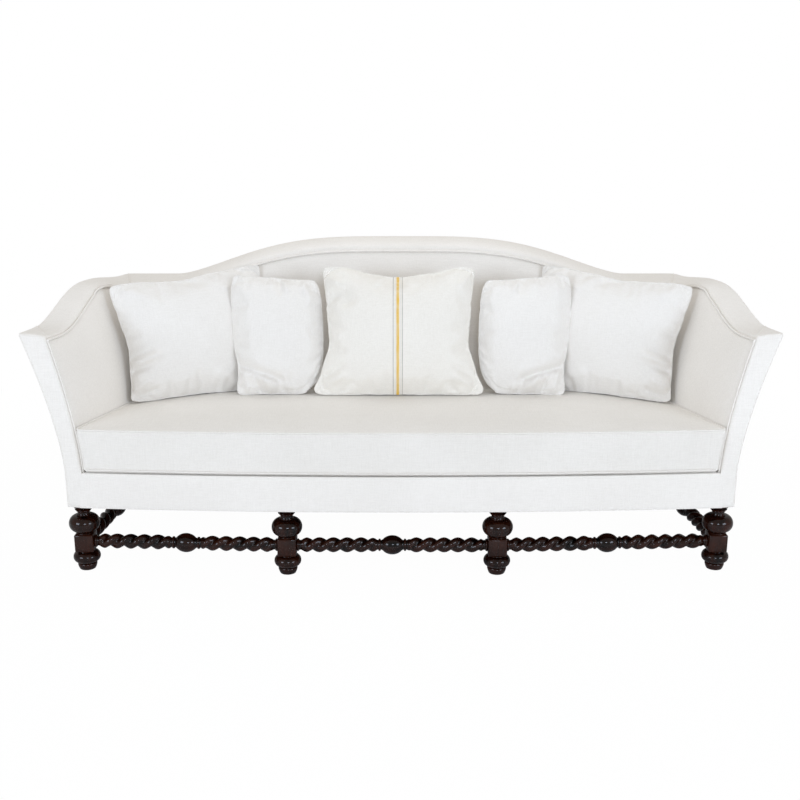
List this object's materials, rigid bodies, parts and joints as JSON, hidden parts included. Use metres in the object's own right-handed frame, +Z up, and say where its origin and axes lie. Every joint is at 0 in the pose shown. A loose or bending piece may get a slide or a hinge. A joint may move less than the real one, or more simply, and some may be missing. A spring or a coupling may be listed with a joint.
{
  "type": "upholstered sofa",
  "caption": "Long camelback sofa in pale linen with flared arms, a bench seat cushion, loose pillows and a dark turned base with rope-twist stretchers.",
  "frame": {"origin": "On the floor, under the middle of the sofa's outer box.", "axes": "+Z up; -Y towards the front, where one sits down; +X along the sofa, to the right as seen from the front."},
  "size_m": [2.4904, 0.8394, 1.058],
  "materials": {
    "white_linen": "matte plain weave",
    "ivory_linen": "matte plain weave with a woven stripe",
    "dark_polished_wood": "dark stain, glossy",
    "bare_beech": "planed, bare",
    "jute_webbing": "coarse weave",
    "black_cambric": "matte"
  },
  "bodies": {
    "frame": {"arm_border_left": "white_linen", "arm_border_right": "white_linen", "arm_facing_left": "white_linen", "arm_facing_right": "white_linen", "arm_tack_rail_left": "bare_beech", "arm_tack_rail_right": "bare_beech", "arm_top_rail_left": "bare_beech", "arm_top_rail_right": "bare_beech", "back_border": "white_linen", "back_tack_rail": "bare_beech", "back_top_rail": "bare_beech", "back_upright_left": "bare_beech", "back_upright_right": "bare_beech", "corner_post_left": "bare_beech", "corner_post_right": "bare_beech", "cross_rail_left": "bare_beech", "cross_rail_right": "bare_beech", "dust_cover": "black_cambric", "front_corner_block_left": "bare_beech", "front_corner_block_right": "bare_beech", "front_leg_inner_left": "dark_polished_wood", "front_leg_inner_right": "dark_polished_wood", "front_leg_left": "dark_polished_wood", "front_leg_right": "dark_polished_wood", "front_post_left": "bare_beech", "front_post_right": "bare_beech", "front_rail": "bare_beech", "front_rail_cover": "white_linen", "front_stretcher_left": "dark_polished_wood", "front_stretcher_middle": "dark_polished_wood", "front_stretcher_right": "dark_polished_wood", "inside_arm_pad_left": "white_linen", "inside_arm_pad_right": "white_linen", "inside_back_pad": "white_linen", "outside_arm_cover_left": "white_linen", "outside_arm_cover_right": "white_linen", "outside_back_cover": "white_linen", "rear_corner_block_left": "bare_beech", "rear_corner_block_right": "bare_beech", "rear_leg_inner_left": "dark_polished_wood", "rear_leg_inner_right": "dark_polished_wood", "rear_leg_left": "dark_polished_wood", "rear_leg_right": "dark_polished_wood", "rear_rail": "bare_beech", "rear_stretcher_left": "dark_polished_wood", "rear_stretcher_middle": "dark_polished_wood", "rear_stretcher_right": "dark_polished_wood", "seat_deck": "white_linen", "seat_webbing": "jute_webbing", "side_rail_left": "bare_beech", "side_rail_right": "bare_beech", "side_stretcher_left": "dark_polished_wood", "side_stretcher_right": "dark_polished_wood"},
    "seat_cushion": {"seat_cushion": "white_linen"},
    "corner_pillow_left": {"corner_pillow_left": "white_linen"},
    "corner_pillow_right": {"corner_pillow_right": "white_linen"},
    "narrow_pillow_left": {"narrow_pillow_left": "white_linen"},
    "narrow_pillow_right": {"narrow_pillow_right": "white_linen"},
    "middle_pillow": {"middle_pillow": "ivory_linen"}
  },
  "joints": [
    {"name": "seat_cushion_lift", "type": "slide", "parent": "frame", "child": "seat_cushion", "axis": [0, 0, 1], "range_m": [0, 0.72]},
    {"name": "corner_pillow_left_lift", "type": "slide", "parent": "seat_cushion", "child": "corner_pillow_left", "axis": [0, 0.3256, 0.9455], "range_m": [0, 0.6]},
    {"name": "corner_pillow_right_lift", "type": "slide", "parent": "seat_cushion", "child": "corner_pillow_right", "axis": [0, 0.3256, 0.9455], "range_m": [0, 0.6]},
    {"name": "narrow_pillow_left_lift", "type": "slide", "parent": "seat_cushion", "child": "narrow_pillow_left", "axis": [0, 0.3256, 0.9455], "range_m": [0, 0.6]},
    {"name": "narrow_pillow_right_lift", "type": "slide", "parent": "seat_cushion", "child": "narrow_pillow_right", "axis": [0, 0.3256, 0.9455], "range_m": [0, 0.6]},
    {"name": "middle_pillow_lift", "type": "slide", "parent": "seat_cushion", "child": "middle_pillow", "axis": [0, 0.3256, 0.9455], "range_m": [0, 0.6]}
  ]
}
